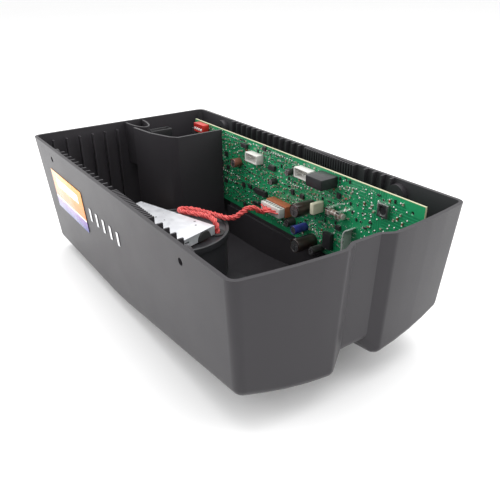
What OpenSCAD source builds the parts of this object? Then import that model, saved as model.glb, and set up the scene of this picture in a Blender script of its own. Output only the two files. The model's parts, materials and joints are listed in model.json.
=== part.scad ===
// Motor head of a ceiling-mounted garage door opener, lying on the belly of its hood
// with the ceiling plate off. X runs across the hood, Y along it, Z up out of its open side.
// The origin is the centre of the base of the whole part.

/* [Hood] */
// Width of the hood across its rim
hood_w = 200; // [190:1:240]
// Length of the straight hood, from its near corners to its far end
hood_l = 373; // [365:1:440]
// Height from the ridges it lies on to the rim
hood_h = 124; // [120:1:150]
// Wall thickness
wall = 3; // [2:0.5:4]
// Radius of the outer edges
edge_r = 8; // [6:0.5:12]
// How far the near end bows outwards
bow = 9; // [0:1:16]
// Draft of the walls, in degrees
draft = 4; // [1:0.5:5]
// How much the belly curves up from its ridges to the side walls
belly_crown = 16; // [6:1:20]
// Slope of the near part of the belly, in degrees
belly_slope = 6.5; // [3:0.5:8]
// Where along Y the flat belly turns into the sloping one
bend_y = 16; // [0:1:30]
// Half width of the styling channel at its mouth
channel_hw = 20; // [16:1:26]
// Depth of the channel in the belly
channel_d = 14; // [8:1:16]
// Depth of the channel in the near end
end_channel_d = 5; // [3:0.5:8]
// Pitch of the close vent fins; the open ones stand three times as far apart
fin_pitch = 3.2; // [2.8:0.1:5]
// Height of the vent fins
fin_h = 22; // [12:1:30]

/* [Ceiling fixing] */
// Radius of the side screw holes
side_hole_r = 2.75; // [2:0.25:3.5]
// Distance between the two side holes of a wall
side_hole_gap = 260; // [220:5:280]
// Depth of the side holes below the rim
side_hole_drop = 12; // [11:1:20]

/* [Circuit board] */
// Length of the board
board_l = 327; // [300:1:328]
// Height of the board
board_h = 78; // [70:1:84]
// Thickness of the board
board_t = 1.6; // [1:0.2:2]
// Distance of the board from the middle of the hood
board_x = 71; // [66:1:76]
// Gap around the board in its slots
board_gap = 0.2; // [0.1:0.05:0.4]

/* [Motor] */
// Radius of the motor housing
motor_r = 46; // [44:0.5:50]
// Height of the motor housing, without its lid
motor_h = 34; // [32:1:38]
// Thickness of the lid
lid_t = 4; // [3:0.5:5]
// Radius of the motor shaft
motor_shaft_r = 5; // [4:0.5:6]
// Radius of the output shaft
output_shaft_r = 6; // [5:0.5:7]
// Running gap between a shaft and its bearing
running_gap = 0.05; // [0.02:0.01:0.1]
// Teeth of the motor pinion
pinion_teeth = 12; // [12:1:16]
// Teeth of the output gear
gear_teeth = 30; // [28:1:32]
// Tooth module of the gears
gear_module = 1.5; // [1.25:0.25:1.5]
// Width of the gears
gear_w = 5; // [4:0.5:6]
// Play between meshing teeth
backlash = 0.3; // [0.2:0.05:0.5]

/* [Bracket plate] */
// Length of the bracket plate
plate_l = 95; // [90:1:100]
// Width of the bracket plate
plate_w = 56; // [54:1:58]
// Thickness of the bracket plate
plate_t = 2; // [1.5:0.5:3]
// Radius of the arch cut into its folded edge
arch_r = 8; // [7:0.5:8.5]

/* [Transformer] */
// Outer radius of the ring transformer
ring_r = 31; // [28:1:32]
// Height of the ring transformer
ring_h = 24; // [20:1:26]

/* [Controls] */
// Side of a setting slider
slider_w = 2.2; // [1.8:0.1:2.4]
// Travel of a setting slider
slider_travel = 2; // [1.5:0.25:2.5]
// Radius of the push buttons
button_r = 1.75; // [1.5:0.25:2]
// Travel of the push buttons
button_travel = 0.4; // [0.25:0.05:0.6]
// Gap around moving controls
control_gap = 0.15; // [0.1:0.05:0.3]

/* [Hidden] */

$fn = 48;
eps = 0.01;
half_w = hood_w / 2;
far_y = (hood_l + bow) / 2;
near_y = -far_y;
lift = 12;                                  // how far the shell's hulls reach past the rim
bend_blend = 12;
ridge_x = channel_hw + edge_r / 2;          // centre of the ridges' rounding
channel_run = 9;                            // how far the belly channel's sides slant inwards
channel_floor_hw = channel_hw - channel_run;
end_run = 11.5;                             // and how far those of the channel in the near end do

// How far a wall has leaned inwards at height z
function inset(z) = (hood_h - z) * tan(draft);
// Height of the belly above its ridges, across the hood
function belly(x) = belly_crown * max(0, pow(x / half_w, 2) - pow(ridge_x / half_w, 2));
// How much higher the sloping near part of the belly is at y
function rise(y) = max(0, bend_y - y) * tan(belly_slope);
// The near end's outer face at the rim
function bow_y(x) = near_y + bow * max(0, pow(x / half_w, 2) - pow(ridge_x / half_w, 2));
// Points down the slanting side of the channel, from a ridge's centre: k is 1 at the channel's floor
function valley_x(k) = ridge_x - k * channel_run;
function valley_z(k) = edge_r + k * channel_d;
function along(a, b, count) = [for (i = [0:count - 1]) a + (b - a) * i / (count - 1)];

// ---------------------------------------------------------------- hood

// A rounded corner of the shell: r is the outer edge radius, less by the wall for the inside
module corner(x, y, z, r) translate([x, y, z]) sphere(r, $fn = 32);

// One side of the shell, from the channel to a side wall
module side_block(side, r) {
    hull() {
        for (k = along(0, 1, 5)) {
            near_z = rise(near_y) + edge_r;
            top_x = ridge_x - 2 + k * (half_w - inset(hood_h + lift) - edge_r - ridge_x + 2);
            near_x = ridge_x + k * (half_w - inset(near_z) - edge_r - ridge_x);
            flat_x = ridge_x + k * (half_w - inset(edge_r) - edge_r - ridge_x);
            corner(side * top_x, bow_y(top_x) - lift * tan(draft) + edge_r, hood_h + lift, r);
            corner(side * top_x, far_y + lift * tan(draft) - edge_r, hood_h + lift, r);
            corner(side * near_x, bow_y(near_x) + inset(near_z) + edge_r, near_z + belly(near_x), r);
            for (y = [bend_y - bend_blend, bend_y + bend_blend])
                corner(side * flat_x, y, rise(y) + belly(flat_x) + edge_r, r);
            corner(side * flat_x, far_y - inset(edge_r) - edge_r, belly(flat_x) + edge_r, r);
        }
        // the slanting sides of the belly channel
        for (y = [near_y + 4 * edge_r, bend_y - bend_blend, bend_y + bend_blend, far_y - 3 * edge_r])
            corner(side * valley_x(1.3), y, rise(y) + valley_z(1.3), r);
        corner(side * valley_x(2), far_y - inset(valley_z(2)) - edge_r, valley_z(2), r);
        // the slanting sides of the channel in the near end
        end_y = near_y + edge_r + 1.5 * end_channel_d;
        corner(side * valley_x(2), end_y + inset(valley_z(2)), rise(near_y) + valley_z(2), r);
        corner(side * (ridge_x - 1.5 * end_run), end_y, hood_h + lift, r);
    }
}

// The middle of the shell, set back by the channel
module middle_block(r) {
    hull() for (side = [-1, 1]) {
        x = side * (channel_hw - edge_r / 4);
        near_z = rise(near_y) + channel_d + edge_r;
        face_y = near_y + end_channel_d + edge_r;
        corner(x, face_y - lift * tan(draft), hood_h + lift, r);
        corner(x, far_y + lift * tan(draft) - edge_r, hood_h + lift, r);
        corner(x, face_y + inset(near_z), near_z, r);
        for (y = [bend_y - bend_blend, bend_y + bend_blend])
            corner(x, y, rise(y) + channel_d + edge_r, r);
        corner(x, far_y - inset(channel_d + edge_r) - edge_r, channel_d + edge_r, r);
    }
}

module shell_solid(r) {
    side_block(-1, r);
    side_block(1, r);
    middle_block(r);
}

// Height of the belly's outside across the hood, with the channel
function skin(x) =
    abs(x) < channel_floor_hw ? channel_d
    : abs(x) < channel_hw ? channel_d * (channel_hw - abs(x)) / (channel_hw - channel_floor_hw)
    : belly(abs(x));

// Everything above the belly's outside plus a height, to stand inner features on
module above_belly(up) {
    span = half_w - inset(0);
    steps = [for (x = along(-span, span, 25)) [x, skin(x) + up]];
    section = concat(steps, [[half_w, belly(half_w) + up], [half_w, hood_h], [-half_w, hood_h],
                             [-half_w, belly(half_w) + up]]);
    translate([0, far_y, 0]) rotate([90, 0, 0]) linear_extrude(far_y - bend_y) polygon(section);
    translate([0, bend_y + eps, 0]) rotate([-belly_slope, 0, 0]) rotate([90, 0, 0])
        linear_extrude(far_y + bend_y) polygon(section);
}

// A comb of vent fins along a side wall: the fins are close in the middle and open at both ends
module vent_comb(side) {
    open_pitch = 3 * fin_pitch;
    fins = concat([for (i = [0:3]) -118 + i * open_pitch],
                  [for (i = [0:20]) -76 + i * fin_pitch],
                  [for (i = [1:13]) -12 + i * open_pitch]);
    root = half_w - wall * 0.9;
    tip = root - 5;
    fin_t = 1.5;
    teeth = [for (y = fins) each [[root, y], [tip, y], [tip, y + fin_t], [root, y + fin_t]]];
    back = root + 0.6;
    outline = concat([[back, fins[0]]], teeth, [[back, fins[len(fins) - 1] + fin_t]]);
    translate([0, 0, hood_h - fin_h])
        linear_extrude(fin_h) polygon([for (p = outline) [side * p[0], p[1]]]);
}

function unit(v) = v / norm(v);
// From a point of a path to its side, mitred so that a wall along the path keeps its thickness
function mitre(points, i) = let (
    last = len(points) - 1,
    coming = unit(points[max(1, i)] - points[max(1, i) - 1]),
    going = unit(points[min(last, i + 1)] - points[min(last, i + 1) - 1]),
    mean = unit(coming + going))
    [-mean[1], mean[0]] / (mean * coming);
// A wall that follows points on the floor plan
module upright(points, thickness, high) linear_extrude(high) polygon(concat(
    [for (i = [0:len(points) - 1]) points[i] + thickness / 2 * mitre(points, i)],
    [for (i = [len(points) - 1:-1:0]) points[i] - thickness / 2 * mitre(points, i)]));

board_z = hood_h - 1.5 - board_h;           // foot of the board
board_y = near_y + 20;                      // near end of the board
parts_y = board_y + 171;                    // y from which its parts are counted
// Height of a part: given for a board from z 44.5 to 122.5, and spread with the board's own height
function parts_z(z) = board_z + (z - 44.5) * board_h / 78;

// The corner pocket for the mains side
pocket_t = 2.5;
pocket_top = hood_h - 1.5;
pocket_path = [[-1, far_y - 29], [3, parts_y + 131], [12, parts_y + 105], [18, parts_y + 98],
               [board_x - 2, parts_y + 98]];
spout_hw = 11;
spout_l = 34;
spout_x = 10;
spout_depth = 45;

module spout_outline(grow) {
    polygon([for (a = [180:15:360]) [spout_x + (spout_hw + grow) * cos(a),
                                     far_y - wall + (spout_l + grow) * sin(a)]]);
}

module cable_spout() translate([0, 0, hood_h - spout_depth]) linear_extrude(spout_depth - 1) difference() {
    spout_outline(0);
    spout_outline(-2);
}

rail_x = board_x - 4;
rail_l = 262;

// The rail that the board stands in, with a low front lip, and its two end guides
module board_rail() {
    difference() {
        union() {
            translate([rail_x, board_y - 4, 0]) cube([11, rail_l, board_z + 2.5]);
            translate([board_x - 3, board_y + board_l - 4, 0]) cube([8, 9, hood_h - 12]);
        }
        translate([board_x - board_gap, board_y - board_gap, board_z - board_gap])
            cube([board_t + 2 * board_gap, board_l + 2 * board_gap, hood_h]);
        translate([rail_x - 1, board_y - 5, board_z - 4]) cube([board_x - rail_x + 1, rail_l + 2, hood_h]);
    }
    translate([rail_x, board_y - 4, 0]) cube([1.5, rail_l, board_z - 3]);
}

motor_at = [-33, 15];
motor_z = 26;                               // underside of the motor housing
pillar_ring_r = motor_r - 8;
pillar_r = 6;
pilot_r = 1.6;
screw_gap = 0.05;
lid_z = motor_z + motor_h;
lid_top = lid_z + lid_t;

transformer_at = [-52, 128];
seat_z = 14;
transformer_bolt_r = 3;

side_hole_y = [6 - side_hole_gap / 2, 6 + side_hole_gap / 2];
side_hole_z = hood_h - side_hole_drop;

boss_r = 9;
boss_h = 6;
module side_bosses() for (side = [-1, 1]) for (y = side_hole_y)
    translate([side * (half_w - inset(side_hole_z) - wall / 2), y, side_hole_z])
        rotate([0, -90 * side, 0]) cylinder(r = boss_r, h = boss_h);

rib_z = 40;
rib_d = 4;
shelf_t = 4;
socket_z = hood_h - 34;                     // the socket stands on its shelf

module hood_features() {
    for (side = [-1, 1]) vent_comb(side);
    side_bosses();
    upright(pocket_path, pocket_t, pocket_top);
    cable_spout();
    board_rail();
    for (a = [30, 150, 270]) translate([motor_at[0], motor_at[1], 0]) rotate(a)
        translate([pillar_ring_r, 0, 0]) cylinder(r = pillar_r, h = motor_z);
    translate([transformer_at[0], transformer_at[1], 0]) cylinder(r = 14, h = seat_z);
    // stiffening ribs of the far wall
    for (i = [0:5]) translate([-84 + i * 14, far_y - inset(rib_z) - wall - rib_d, rib_z])
        cube([1.8, rib_d + wall / 2, hood_h - 6 - rib_z]);
    // shelf for the mains socket
    translate([spout_x + spout_hw, far_y - 20, socket_z - shelf_t])
        cube([44, 20 - inset(socket_z - shelf_t) - wall / 2, shelf_t]);
}

module hood() color([0.13, 0.13, 0.14]) difference() {
    union() {
        difference() {
            shell_solid(edge_r);
            shell_solid(edge_r - wall);
            translate([-hood_w, -hood_l, hood_h]) cube([2 * hood_w, 2 * hood_l, hood_h]);
        }
        intersection() {
            hood_features();
            above_belly(wall * 0.7);
        }
    }
    for (side = [-1, 1]) for (y = side_hole_y)
        translate([side * (half_w + 1), y, side_hole_z]) rotate([0, -90 * side, 0])
            cylinder(r = side_hole_r, h = 20);
    for (a = [30, 150, 270]) translate([motor_at[0], motor_at[1], motor_z - 9]) rotate(a)
        translate([pillar_ring_r, 0, 0]) cylinder(r = pilot_r, h = 10);
    translate([transformer_at[0], transformer_at[1], seat_z - 7]) cylinder(r = transformer_bolt_r, h = 8);
}

// A thin piece lying on the outside of the left wall: y, z and size on the wall
module on_left_wall(y, z, l, h, t) {
    translate([-half_w + inset(z) - 0.02, y, z]) rotate([0, -draft, 0])
        translate([-t, 0, 0]) cube([t, l, h]);
}

module label_sticker() color([0.95, 0.45, 0.1]) on_left_wall(64, 60, 85, 40, 0.3);

module marking_bars() color("white") for (i = [0:4])
    on_left_wall(-15 + i * 15, 78, 4, 12, 0.2);

// ---------------------------------------------------------------- circuit board

ring_hole_at = [-90, 120];                  // y and z of the hole near the board's top edge
module circuit_board() color([0.1, 0.5, 0.3]) difference() {
    translate([board_x, board_y, board_z]) cube([board_t, board_l, board_h]);
    for (p = [ring_hole_at, [-160, 52], [-160, 114], [90, 52]])
        translate([board_x - 1, parts_y + p[0], parts_z(p[1])]) rotate([0, 90, 0])
            cylinder(r = 1.6, h = board_t + 2);
}

// A block on the board's front: centre along y and z, size [off the board, along, up]
module block(y, z, size)
    translate([board_x - size[0], parts_y + y - size[1] / 2, parts_z(z) - size[2] / 2]) cube(size);

// A can standing out of the board's front
module can(y, z, r, h)
    translate([board_x, parts_y + y, parts_z(z)]) rotate([0, -90, 0]) cylinder(r = r, h = h);

module relay() color([0.2, 0.2, 0.21]) block(-71, 115.5, [18.2, 20, 9.3]);

plug_at = [-8, 70];                         // y and z on the board
plug_y = parts_y + plug_at[0];
plug_z = parts_z(plug_at[1]);
plug_d = 16;                                // how far the plug's face stands off the board
module motor_header() color([0.9, 0.45, 0.15]) difference() {
    block(plug_at[0], plug_at[1], [9, 30, 11]);
    translate([board_x - 9.1, plug_y - 13.5, plug_z - 4]) cube([7.1, 27, 8]);
}
module loom_plug() color([0.88, 0.87, 0.85]) {
    translate([board_x - plug_d, plug_y - 13.2, plug_z - 3.7]) cube([plug_d - 2, 26.4, 7.4]);
    translate([board_x - plug_d, plug_y - 14.4, plug_z - 4.6]) cube([plug_d - 9.5, 28.8, 9.2]);
}

module signal_headers() color([0.92, 0.92, 0.88]) for (p = [[34, 108], [-43, 113]]) difference() {
    block(p[0], p[1], [8.5, 20, 9]);
    translate([board_x - 8.6, parts_y + p[0] - 8.6, parts_z(p[1]) - 3.6]) cube([6, 17.2, 7.2]);
}

module main_capacitors() color([0.25, 0.17, 0.14]) {
    can(-50, 84, 6.3, 21);
    can(-53, 51.5, 6.5, 22);
}
module blue_capacitor() color([0.15, 0.15, 0.5]) can(-42, 61, 4.2, 15);
module small_capacitors() color([0.2, 0.19, 0.19]) {
    can(-24, 60, 4, 9);
    can(-66, 49.5, 3.6, 14);
    can(-22, 108.5, 3, 8);
    can(66, 95, 4.6, 9);
    can(4, 92, 3, 7);
}

fuse_y = parts_y - 85;
fuse_z = parts_z(90);
fuse_x = board_x - 5;
module fuse() color([0.55, 0.5, 0.48]) translate([fuse_x, fuse_y - 10, fuse_z]) rotate([-90, 0, 0])
    cylinder(r = 2.6, h = 20);
module fuse_clips() color("silver") for (y = [-8.5, 4.5]) difference() {
    translate([fuse_x - 3.4, fuse_y + y, fuse_z - 3.6]) cube([board_x - fuse_x + 3.4, 4, 7.2]);
    translate([fuse_x, fuse_y + y - 1, fuse_z]) rotate([-90, 0, 0]) cylinder(r = 2.6, h = 6);
    translate([fuse_x - 4, fuse_y + y - 1, fuse_z - 2]) cube([4, 6, 4]);
}
module film_capacitor() color([0.9, 0.88, 0.75]) block(-63, 88, [12, 5, 10]);

strip_w = 10;
// A bent strip that carries heat away from the power transistor
module heat_bracket() color([0.75, 0.76, 0.74]) {
    block(-95, 62, [1.2, 10, 12]);
    translate([board_x - strip_w, parts_y - 100.4, parts_z(62) - 6]) rotate([90, 0, 90])
        upright(concat([[0, 0]], [for (a = [0:18:72]) [7 * cos(a) - 7, 20 + 7 * sin(a)]]), 1.2, strip_w);
}
module power_transistor() color([0.12, 0.12, 0.12]) block(-75, 60, [4.5, 10, 15]);

module logic_chips() color([0.1, 0.1, 0.1]) {
    block(55, 115, [3, 10, 5]);
    block(26, 74, [4, 18, 6.5]);
    block(8, 104, [3.2, 9, 6]);
    block(-86, 76, [3, 5, 5]);
    block(124, 84, [2.5, 14, 14]);
}

// Rows of small soldered parts over the middle and far part of the board
module small_parts() color([0.55, 0.5, 0.42]) {
    for (row = [0:3]) for (i = [0:8]) block(40 + i * 5.5, 52 + row * 6, [1.2, 2, 1.2]);
    for (row = [0:1]) for (i = [0:5]) block(16 + i * 5.5, 84 + row * 6, [1.4, 2.4, 1.4]);
}

module lamp_window() color([0.85, 0.86, 0.86]) difference() {
    block(-134, 108, [3, 11, 11]);
    translate([board_x - 3.1, parts_y - 134, parts_z(108)]) rotate([0, 90, 0]) cylinder(r = 3.6, h = 2);
}

// ---------------------------------------------------------------- setting switches and buttons

switch_at = [136, 117];                     // y and z on the board
switch_d = 8;
slider_pitch = 4.2;
function slider_y(i) = parts_y + switch_at[0] + (i - 1.5) * slider_pitch;
slot_w = slider_w + 2 * control_gap;
slot_h = slider_w + slider_travel + 2 * control_gap;
slot_d = 3;
slot_foot = parts_z(switch_at[1]) - slot_h / 2;

module switch_block() color([0.75, 0.12, 0.1]) difference() {
    block(switch_at[0], switch_at[1], [switch_d, 4 * slider_pitch + 3, 9]);
    for (i = [0:3]) translate([board_x - switch_d - 1, slider_y(i) - slot_w / 2, slot_foot])
        cube([slot_d + 1, slot_w, slot_h]);
}
module slider(i) color("white")
    translate([board_x - switch_d - 0.8, slider_y(i) - slider_w / 2, slot_foot + control_gap])
        cube([slot_d + 0.8 - control_gap, slider_w, slider_w]);
module slider_1() slider(0);
module slider_2() slider(1);
module slider_3() slider(2);
module slider_4() slider(3);

button_at = [[116, 112], [108, 112]];       // y and z of the learn and the test button
button_d = 4;                               // how far the housings stand off the board
button_stem = 2.5;
module button_housings() color([0.15, 0.15, 0.15]) for (p = button_at) difference() {
    block(p[0], p[1], [button_d, 6, 6]);
    translate([board_x - button_d - 1, parts_y + p[0], parts_z(p[1])]) rotate([0, 90, 0])
        cylinder(r = button_r + control_gap, h = 1 + button_travel + 1.2);
}
module button(p) translate([board_x - button_d + 1, parts_y + p[0], parts_z(p[1])]) rotate([0, -90, 0])
    cylinder(r = button_r, h = 1 + button_stem);
module learn_button() color([0.8, 0.15, 0.1]) button(button_at[0]);
module test_button() color([0.85, 0.85, 0.8]) button(button_at[1]);

// ---------------------------------------------------------------- mains side

socket_at = [36, far_y - 19];               // x of its middle and y of its front
socket_h = 22;
module mains_socket() color([0.12, 0.12, 0.13]) translate([socket_at[0], socket_at[1], socket_z])
    difference() {
        translate([-13, 0, 0]) cube([26, 12, socket_h]);
        translate([-10.5, 2.5, 3]) cube([21, 7, socket_h]);
    }
module socket_contacts() color([0.9, 0.9, 0.88]) for (x = [-6.5, -1, 4.5])
    translate([socket_at[0] + x, socket_at[1] + 5, socket_z + 3]) cube([2, 2, 7]);

pad_t = 1.5;
ring_z = seat_z + pad_t;
module transformer_pad() color([0.1, 0.1, 0.1]) translate([transformer_at[0], transformer_at[1], seat_z])
    difference() {
        cylinder(r = ring_r - 3, h = pad_t);
        translate([0, 0, -1]) cylinder(r = transformer_bolt_r + 0.5, h = pad_t + 2);
    }
module transformer_ring() color([0.25, 0.2, 0.1])
    translate([transformer_at[0], transformer_at[1], ring_z]) rotate_extrude() {
        inner_r = 0.4 * ring_r;
        round_r = 5;
        translate([inner_r, round_r]) square([ring_r - inner_r, ring_h - 2 * round_r]);
        translate([inner_r + round_r, 0]) square([ring_r - inner_r - 2 * round_r, ring_h]);
        for (x = [inner_r + round_r, ring_r - round_r]) for (y = [round_r, ring_h - round_r])
            translate([x, y]) circle(round_r);
    }
dish_t = 1.5;
dish_z = ring_z + ring_h;
module transformer_dish() color("silver") translate([transformer_at[0], transformer_at[1], dish_z])
    difference() {
        cylinder(r = 0.75 * ring_r, h = dish_t);
        translate([0, 0, -1]) cylinder(r = transformer_bolt_r, h = dish_t + 2);
    }
module transformer_bolt() color("silver") translate([transformer_at[0], transformer_at[1], 0]) {
    translate([0, 0, seat_z - 6])
        cylinder(r = transformer_bolt_r - screw_gap, h = dish_z + dish_t - seat_z + 6);
    translate([0, 0, dish_z + dish_t]) cylinder(r = 5.8, h = 3.5, $fn = 6);
}

// ---------------------------------------------------------------- motor

module at_motor(z) translate([motor_at[0], motor_at[1], z]) children();

housing_t = 2.5;
floor_t = 3;
tube_r = 10;
bearing_r = motor_shaft_r + 3.5;
bearing_h = 5;
tube_top = motor_z + 22;
module motor_housing() color([0.12, 0.12, 0.12]) at_motor(motor_z) difference() {
    union() {
        difference() {
            cylinder(r = motor_r, h = motor_h, $fn = 96);
            translate([0, 0, floor_t]) cylinder(r = motor_r - housing_t, h = motor_h, $fn = 96);
        }
        cylinder(r = tube_r, h = tube_top - motor_z);
    }
    translate([0, 0, floor_t]) cylinder(r = bearing_r, h = motor_h);
    for (a = [30, 150, 270]) rotate(a) translate([pillar_ring_r, 0, -1]) cylinder(r = 2, h = floor_t + 2);
}

screw_head_r = 3.2;
screw_head_h = 2.2;
module motor_screws() color("silver") at_motor(motor_z) for (a = [30, 150, 270])
    rotate(a) translate([pillar_ring_r, 0, 0]) {
        translate([0, 0, floor_t]) cylinder(r = screw_head_r, h = screw_head_h);
        translate([0, 0, -8]) cylinder(r = pilot_r - screw_gap, h = floor_t + 8);
    }

lip_h = 1.5;
lid_r = motor_r + 2;
output_at = motor_at + (pinion_teeth + gear_teeth) * gear_module / 2 * [cos(170), sin(170)];
wire_hole_at = [-6, -12];
wire_hole_r = 5;
bushing_r = output_shaft_r + 2.5;

// The plate's own frame: its origin is the near right corner, y runs along the right edge
plate_at = [-10.4, -15.8];
plate_turn = 17;
plate_z = 72;
standoff_at = [[-5, 58], [-14, 72], [-31, 14], [-5, 17]];
standoff_r = 3.5;
standoff_bore_r = 1.5;
module in_plate(z) translate([plate_at[0], plate_at[1], z]) rotate(plate_turn) children();

module motor_lid() color([0.14, 0.14, 0.14]) difference() {
    at_motor(lid_z) difference() {
        cylinder(r = lid_r, h = lid_t + lip_h, $fn = 96);
        translate([0, 0, lid_t]) cylinder(r = lid_r - 2.5, h = lip_h + 1, $fn = 96);
        translate([0, 0, -1]) cylinder(r = bearing_r, h = lid_t + 2);
    }
    translate([output_at[0], output_at[1], lid_z - 1]) cylinder(r = bushing_r, h = lid_t + 2);
    translate([wire_hole_at[0], wire_hole_at[1], lid_z - 1]) cylinder(r = wire_hole_r + 1, h = lid_t + 2);
    for (p = standoff_at) in_plate(lid_z - 1) translate(p) cylinder(r = standoff_bore_r + 0.2, h = lid_t + 2);
}

// Screws from under the lid into the standoffs, so that the plate's top stays clear
module lid_screws() color("silver") for (p = standoff_at) in_plate(lid_z) translate(p) {
    translate([0, 0, -1.8]) cylinder(r = 2.8, h = 1.8);
    cylinder(r = standoff_bore_r - screw_gap, h = lid_t + 5);
}

stator_z = motor_z + 10;
stator_h = 14;
stator_r = 33;
slots = 9;
module stator_core() color([0.6, 0.6, 0.62]) at_motor(stator_z) {
    difference() {
        union() {
            cylinder(r = tube_r + 5, h = stator_h);
            for (i = [0:slots - 1]) rotate(i * 360 / slots)
                translate([tube_r + 3, -3, 0]) cube([stator_r - tube_r - 5, 6, stator_h]);
            intersection() {
                difference() {
                    cylinder(r = stator_r, h = stator_h);
                    translate([0, 0, -1]) cylinder(r = stator_r - 2.5, h = stator_h + 2);
                }
                for (i = [0:slots - 1]) rotate(i * 360 / slots)
                    translate([stator_r - 6, -9, 0]) cube([8, 18, stator_h]);
            }
        }
        translate([0, 0, -1]) cylinder(r = tube_r, h = stator_h + 2);
    }
}

coil_t = 2.2;
module stator_coils() color([0.72, 0.4, 0.2]) at_motor(stator_z) for (i = [0:slots - 1])
    rotate(i * 360 / slots) translate([tube_r + 9, 0, 0]) difference() {
        translate([0, -3 - coil_t, -coil_t]) cube([10, 6 + 2 * coil_t, stator_h + 2 * coil_t]);
        translate([-1, -3, 0]) cube([12, 6, stator_h]);
    }

module hall_board() color([0.1, 0.5, 0.3]) at_motor(motor_z + floor_t + 1) difference() {
    cylinder(r = 26, h = 1.6);
    translate([0, 0, -1]) cylinder(r = tube_r, h = 4);
}

module motor_bearings() color("silver") for (z = [motor_z + 12, lid_z - 1]) at_motor(z) difference() {
    cylinder(r = bearing_r, h = bearing_h);
    translate([0, 0, -1]) cylinder(r = motor_shaft_r + running_gap, h = bearing_h + 2);
}

rotor_r = motor_r - housing_t - 2;
rotor_t = 2.5;
rotor_z = motor_z + 9;
rotor_top = lid_z - 3.2;
magnet_t = 3;
module rotor_cup() color([0.5, 0.5, 0.52]) at_motor(rotor_z) difference() {
    cylinder(r = rotor_r, h = rotor_top - rotor_z, $fn = 96);
    translate([0, 0, -1]) cylinder(r = rotor_r - rotor_t, h = rotor_top - rotor_z - 1, $fn = 96);
    cylinder(r = motor_shaft_r, h = 60);
}
poles = 12;
module rotor_magnets() color([0.3, 0.3, 0.32]) at_motor(rotor_z + 1) for (i = [0:poles - 1])
    rotate(i * 360 / poles) rotate_extrude(angle = 360 / poles - 3)
        translate([rotor_r - rotor_t - magnet_t, 0]) square([magnet_t, 16]);

pinion_z = plate_z - gear_w - 1;
module motor_shaft() color("silver") at_motor(motor_z + floor_t + 0.5)
    cylinder(r = motor_shaft_r, h = pinion_z + gear_w - motor_z - floor_t - 0.5);

// A spur gear with involute flanks; bore is its hole's radius
function involute(base_r, a) =
    base_r * [cos(a) + a * PI / 180 * sin(a), sin(a) - a * PI / 180 * cos(a)];
function turned(p, a) = [p[0] * cos(a) - p[1] * sin(a), p[0] * sin(a) + p[1] * cos(a)];
module spur_gear(teeth, bore, width) {
    pitch_r = teeth * gear_module / 2;
    base_r = pitch_r * cos(20);
    tip_r = pitch_r + 0.9 * gear_module;
    root_r = pitch_r - 1.25 * gear_module;
    // half of a tooth's angle at the base circle, with the play taken off
    half_a = 90 / teeth + (tan(20) - 20 * PI / 180) * 180 / PI - backlash / 2 / pitch_r * 180 / PI;
    tip_a = sqrt(pow(tip_r / base_r, 2) - 1) * 180 / PI;
    flank = [for (a = along(0, tip_a, 6)) turned(involute(base_r, a), -half_a)];
    tooth = concat([turned([root_r, 0], -half_a)], flank,
                   [for (i = [5:-1:0]) [flank[i][0], -flank[i][1]]], [turned([root_r, 0], half_a)]);
    linear_extrude(width) difference() {
        polygon([for (i = [0:teeth - 1]) for (p = tooth) turned(p, i * 360 / teeth)]);
        circle(bore);
    }
}

module motor_pinion() color([0.7, 0.7, 0.65]) at_motor(pinion_z) rotate(170)
    spur_gear(pinion_teeth, motor_shaft_r, gear_w);

// The bracket plate with its folded near edge and the arch cut through the fold
flange_l = 46;
module bracket_plate() color([0.85, 0.86, 0.86]) difference() {
    in_plate(plate_z) union() {
        translate([-plate_w, 0, 0]) cube([plate_w, plate_l, plate_t]);
        translate([-flange_l, 0, lid_top + lip_h + 0.3 - plate_z])
            cube([flange_l, plate_t, plate_z - lid_top - lip_h]);
    }
    in_plate(lid_top + plate_t) translate([-13.5, -1, 0]) rotate([-90, 0, 0]) cylinder(r = arch_r, h = 10);
    in_plate(lid_top) translate([-37, -1, 5]) cube([5, plate_t + 2, 2]);
    translate([output_at[0], output_at[1], plate_z - 1]) cylinder(r = bushing_r, h = plate_t + 2);
}

module plate_standoffs() color("silver") for (p = standoff_at) in_plate(lid_top) translate(p) difference() {
    cylinder(r = standoff_r, h = plate_z - lid_top);
    translate([0, 0, -1]) cylinder(r = standoff_bore_r, h = plate_z - lid_top - 1);
}

// The rubber buffer that fills the arch
module arch_buffer() color([0.08, 0.08, 0.08]) in_plate(lid_top) intersection() {
    translate([-13.5, -1.2, plate_t]) rotate([-90, 0, 0]) cylinder(r = arch_r - 0.5, h = 9.5);
    translate([-30, -5, lip_h + 0.1]) cube([30, 20, 12]);
}

// ---------------------------------------------------------------- output

module at_output(z) translate([output_at[0], output_at[1], z]) children();

module output_bushings() color([0.7, 0.5, 0.25]) for (z = [[lid_z, lid_t], [plate_z, plate_t]])
    at_output(z[0]) difference() {
        cylinder(r = bushing_r, h = z[1]);
        translate([0, 0, -1]) cylinder(r = output_shaft_r + running_gap, h = z[1] + 2);
    }

module output_gear() color([0.7, 0.7, 0.65]) at_output(pinion_z) rotate(170 - 180 + 180 / gear_teeth)
    spur_gear(gear_teeth, output_shaft_r, gear_w);

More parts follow.
